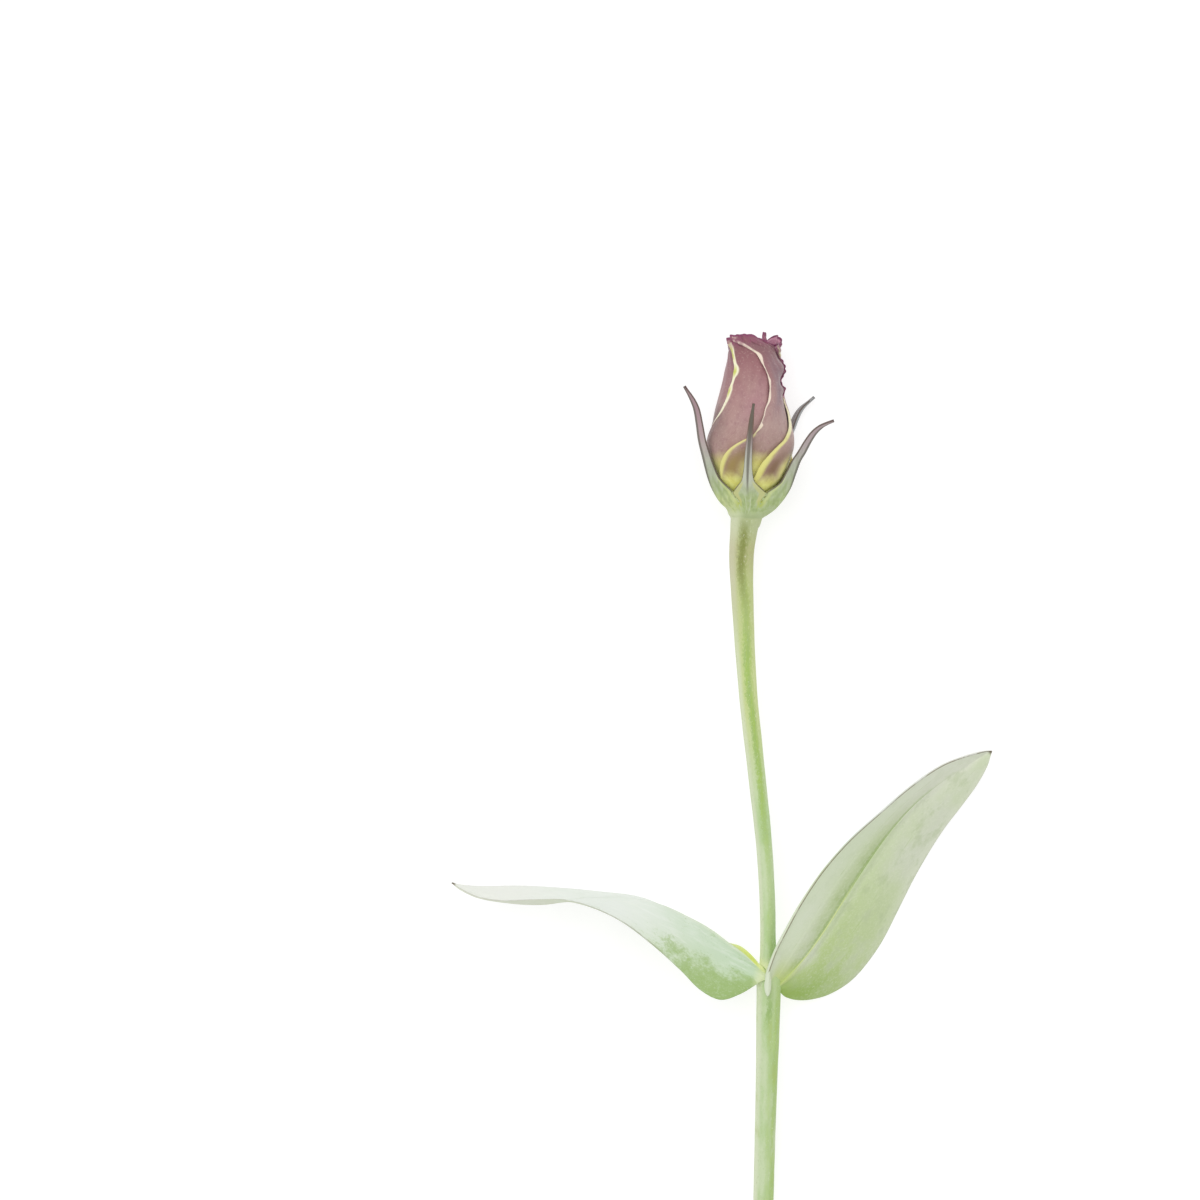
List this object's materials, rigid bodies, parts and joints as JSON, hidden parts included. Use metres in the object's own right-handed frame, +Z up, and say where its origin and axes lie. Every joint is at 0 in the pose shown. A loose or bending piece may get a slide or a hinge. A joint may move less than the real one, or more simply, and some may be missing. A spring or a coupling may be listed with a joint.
{
  "type": "lisianthus flower",
  "caption": "Cut lisianthus stem with a furled double mauve bud in its slender-lobed calyx and clasping grey-green leaves, lying on a surface.",
  "frame": {"origin": "centre of the bounding box in X and Y, on the surface the flower lies on", "axes": "+Y from the cut end towards the bud, +Z up from the surface, +X towards the longer, raised right leaf's side"},
  "size_m": [0.1192, 0.2124, 0.0231],
  "materials": {
    "stem": "smooth, slightly waxy, fresh green",
    "leaf": "matte with a bluish-white bloom over grey-green",
    "calyx": "matte grey-green, purple-brown towards the lobes' tips",
    "petal_outer": "satin dusky mauve, yellow-green at the base, cream along the free edge",
    "petal_inner": "satin mauve with magenta tips",
    "pistil": "smooth pale green",
    "stamen": "matte pollen yellow"
  },
  "bodies": {
    "root": {"calyx": "calyx", "leaf_left": "leaf", "leaf_right": "leaf", "petal_inner_1": "petal_inner", "petal_inner_2": "petal_inner", "petal_inner_3": "petal_inner", "petal_inner_4": "petal_inner", "petal_inner_5": "petal_inner", "petal_outer_1": "petal_outer", "petal_outer_2": "petal_outer", "petal_outer_3": "petal_outer", "petal_outer_4": "petal_outer", "petal_outer_5": "petal_outer", "pistil": "pistil", "stamens": "stamen", "stem": "stem"}
  },
  "joints": []
}
